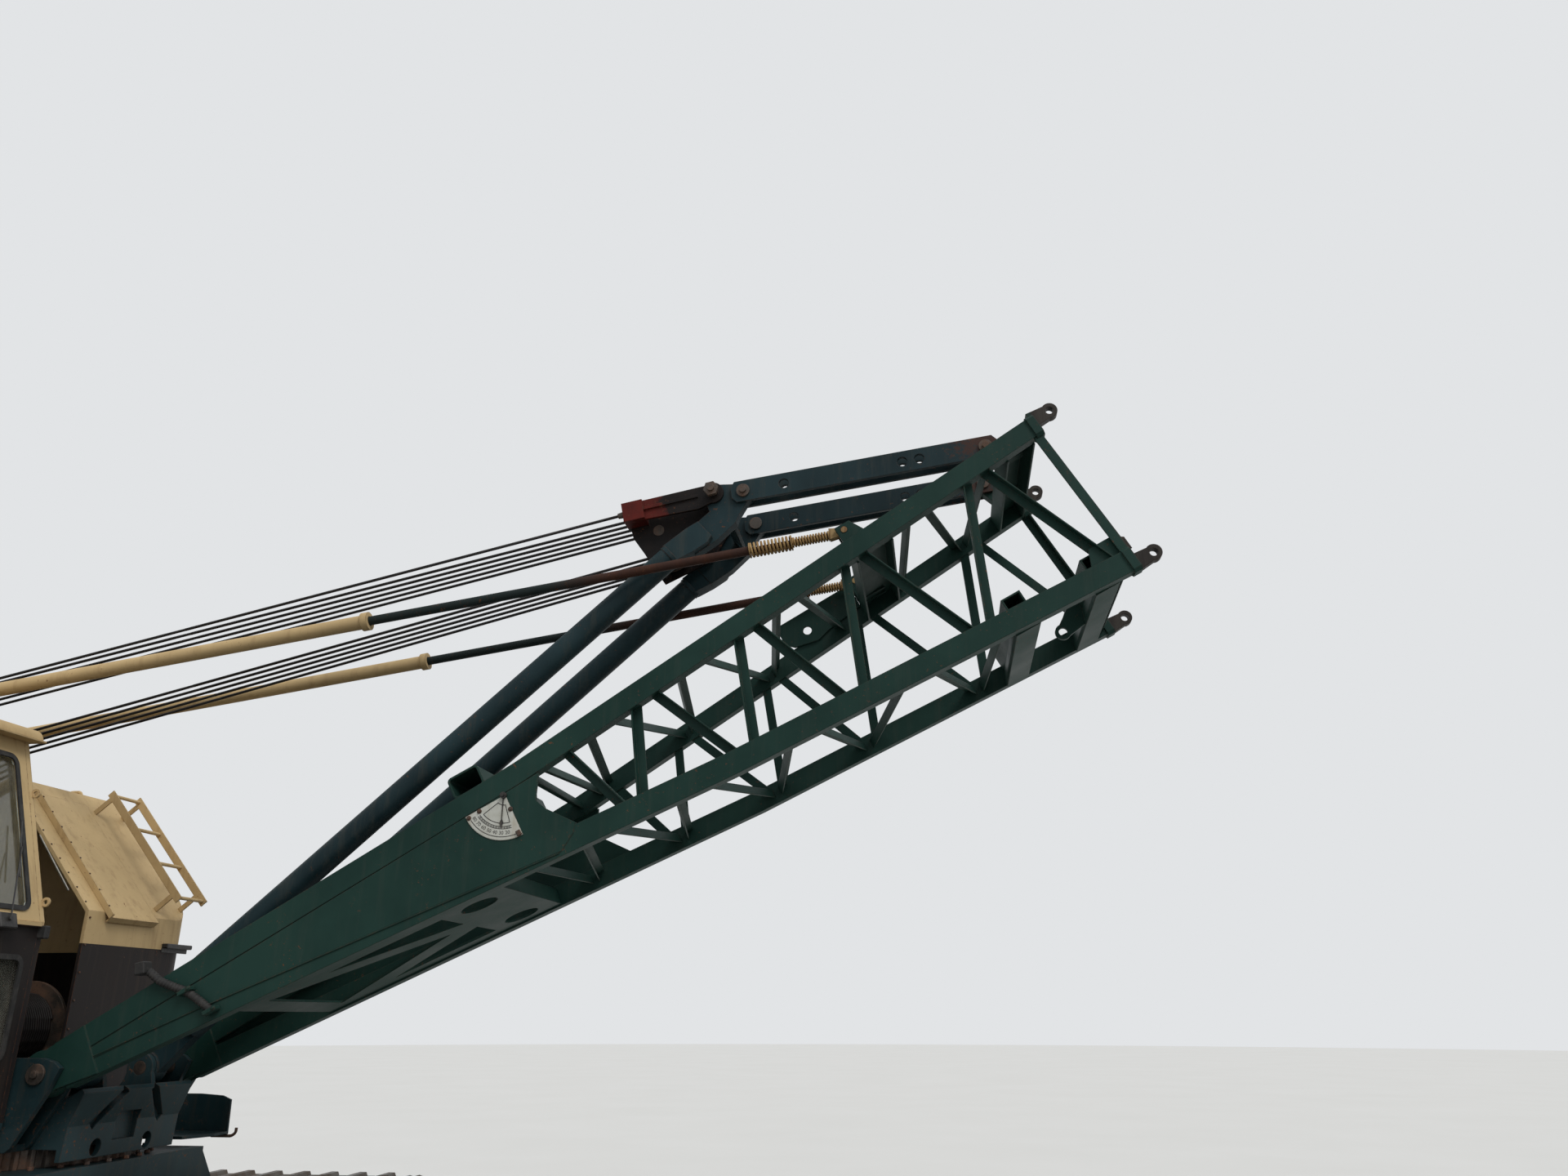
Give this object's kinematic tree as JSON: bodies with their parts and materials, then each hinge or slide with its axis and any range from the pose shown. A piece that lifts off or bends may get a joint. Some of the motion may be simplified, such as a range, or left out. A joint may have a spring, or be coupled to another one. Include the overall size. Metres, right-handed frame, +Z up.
{
  "type": "crawler crane with lattice boom base section",
  "caption": "Lattice boom crawler crane with cab, machinery house, mast, gantry, telescoping backstops and an open-ended boom base section.",
  "frame": {"origin": "on the ground under the slewing axis", "axes": "+X forwards along the boom, +Y to the machine's left, +Z up"},
  "size_m": [12.0557, 3.96, 5.9694],
  "materials": {
    "track_steel": "worn, dirty cast steel",
    "frame_paint": "weathered blue-green enamel",
    "boom_green": "dark green enamel, lightly faded",
    "mast_teal": "dark teal enamel with worn edges",
    "cream_paint": "chalky cream enamel with rust at seams",
    "brown_paint": "dark brown enamel",
    "bridle_red": "faded red enamel with black grease",
    "bare_steel": "greasy rust-brown bare steel",
    "rod_steel": "rusty brown rod",
    "spring_paint": "cream enamel rusting through",
    "white_enamel": "white enamel plate, rust at the screws",
    "cab_glass": "clear safety glass",
    "black_vinyl": "black vinyl and rubber",
    "weight_iron": "dark painted cast iron"
  },
  "bodies": {
    "undercarriage": {"carbody": "frame_paint", "slew_ring": "bare_steel", "crawler_frame_left": "frame_paint", "crawler_frame_right": "frame_paint", "track_left": "track_steel", "track_right": "track_steel", "tumblers": "track_steel", "track_rollers": "track_steel"},
    "upper": {"revolving_frame": "frame_paint", "foot_brackets": "frame_paint", "front_crossmember": "frame_paint", "foot_pins": "bare_steel", "counterweight": "weight_iron", "gantry": "mast_teal", "gantry_sheaves": "bare_steel", "house_left": "cream_paint", "house_hatch": "cream_paint", "house_right": "cream_paint", "house_rear": "cream_paint", "slope_ladder": "cream_paint", "wing_plate": "frame_paint", "engine": "frame_paint", "hoist_drums": "bare_steel", "drum_stands": "frame_paint", "cab_floor": "brown_paint", "cab_front": "cream_paint", "cab_left": "cream_paint", "cab_right": "cream_paint", "cab_back": "cream_paint", "cab_roof": "cream_paint", "cab_glass": "cab_glass", "cab_seat": "black_vinyl", "cab_controls": "black_vinyl"},
    "cab_door": {"cab_door": "cream_paint", "cab_door_glass": "cab_glass"},
    "boom": {"boom_side_left": "boom_green", "boom_side_right": "boom_green", "boom_top_lacing": "boom_green", "boom_bottom_lacing": "boom_green", "boom_bulkheads": "boom_green", "mast_rest": "boom_green", "angle_indicator": "white_enamel", "chord_sockets": "boom_green"},
    "mast": {"mast": "mast_teal", "link_bars": "mast_teal", "link_pins": "bare_steel"},
    "bridle": {"bridle": "bridle_red", "bridle_sheaves": "bare_steel"},
    "backstop_rods": {"backstop_rods": "rod_steel", "backstop_springs": "spring_paint"},
    "backstop_tubes": {"backstop_tubes": "cream_paint"}
  },
  "joints": [
    {"name": "swing", "type": "hinge", "parent": "undercarriage", "child": "upper", "pos_m": [0, 0, 1.25], "axis": [0, 0, 1], "continuous": true},
    {"name": "boom_luff", "type": "hinge", "parent": "upper", "child": "boom", "pos_m": [1, 0, 1.75], "axis": [0, -1, 0], "range_deg": [-28.5, 50]},
    {"name": "mast_luff", "type": "hinge", "parent": "upper", "child": "mast", "pos_m": [1, 0, 1.75], "axis": [0, -1, 0], "range_deg": [-29, 50.5]},
    {"name": "bridle_tilt", "type": "hinge", "parent": "mast", "child": "bridle", "pos_m": [5.05284, 0, 5.59701], "axis": [0, -1, 0], "range_deg": [-14, 8.2]},
    {"name": "backstop_tilt", "type": "hinge", "parent": "boom", "child": "backstop_rods", "pos_m": [6.00128, 0, 5.17564], "axis": [0, -1, 0], "range_deg": [-14.5, 8.5]},
    {"name": "backstop_slide", "type": "slide", "parent": "backstop_rods", "child": "backstop_tubes", "axis": [0.9896, 0, 0.1439], "range_m": [-1.45, 2.53]},
    {"name": "cab_door_hinge", "type": "hinge", "parent": "upper", "child": "cab_door", "pos_m": [-0.25, -1.512, 2.65], "axis": [0, 0, -1], "range_deg": [0, 110]}
  ],
  "couplings": [
    {"joint": "mast_luff", "follows": "boom_luff", "ratio": 1},
    {"joint": "bridle_tilt", "follows": "boom_luff", "ratio": -0.27},
    {"joint": "backstop_tilt", "follows": "boom_luff", "ratio": -0.28},
    {"joint": "backstop_slide", "follows": "boom_luff", "m_per_rad": 2.87}
  ]
}
